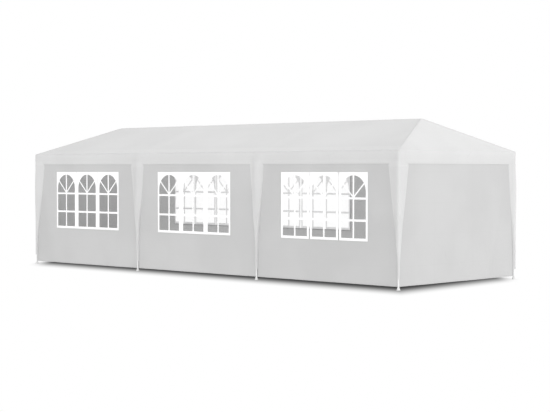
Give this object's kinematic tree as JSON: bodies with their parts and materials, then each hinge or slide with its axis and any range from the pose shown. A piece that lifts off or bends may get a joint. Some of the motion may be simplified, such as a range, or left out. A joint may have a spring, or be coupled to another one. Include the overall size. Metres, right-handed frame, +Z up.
{
  "type": "marquee tent",
  "caption": "Long party marquee with a hipped white fabric roof, valance, tapering leg covers, steel legs on flared feet and walls with arched clear windows.",
  "frame": {"origin": "on the ground under the middle of the tent", "axes": "+X along the tent, +Y across it, +Z up. The window side at -Y and the plain end at +X are the ones the picture shows."},
  "size_m": [8.88, 3.06, 2.602],
  "materials": {
    "roof_fabric": "white woven polyethylene, matt with a faint sheen",
    "wall_fabric": "white woven polyethylene, matt with a faint sheen",
    "window_film": "clear flexible film with white window-bar print",
    "steel_tube": "white powder coat",
    "tube_fitting": "white powder coat"
  },
  "bodies": {
    "root": {"fitting_back_1": "tube_fitting", "fitting_back_2": "tube_fitting", "fitting_back_3": "tube_fitting", "fitting_back_4": "tube_fitting", "fitting_front_1": "tube_fitting", "fitting_front_2": "tube_fitting", "fitting_front_3": "tube_fitting", "fitting_front_4": "tube_fitting", "hip_back_1": "steel_tube", "hip_back_4": "steel_tube", "hip_front_1": "steel_tube", "hip_front_4": "steel_tube", "leg_back_1": "steel_tube", "leg_back_2": "steel_tube", "leg_back_3": "steel_tube", "leg_back_4": "steel_tube", "leg_front_1": "steel_tube", "leg_front_2": "steel_tube", "leg_front_3": "steel_tube", "leg_front_4": "steel_tube", "rafter_back_2": "steel_tube", "rafter_back_3": "steel_tube", "rafter_front_2": "steel_tube", "rafter_front_3": "steel_tube", "rail_back_1": "steel_tube", "rail_back_2": "steel_tube", "rail_back_3": "steel_tube", "rail_end_left": "steel_tube", "rail_end_right": "steel_tube", "rail_front_1": "steel_tube", "rail_front_2": "steel_tube", "rail_front_3": "steel_tube", "ridge_pole": "steel_tube", "roof_cover": "roof_fabric", "wall_back_left": "wall_fabric", "wall_back_mid": "wall_fabric", "wall_back_right": "wall_fabric", "wall_end_left": "wall_fabric", "wall_end_right": "wall_fabric", "wall_front_left": "wall_fabric", "wall_front_mid": "wall_fabric", "wall_front_right": "wall_fabric", "window_back_left": "window_film", "window_back_mid": "window_film", "window_back_right": "window_film", "window_front_left": "window_film", "window_front_mid": "window_film", "window_front_right": "window_film"}
  },
  "joints": []
}
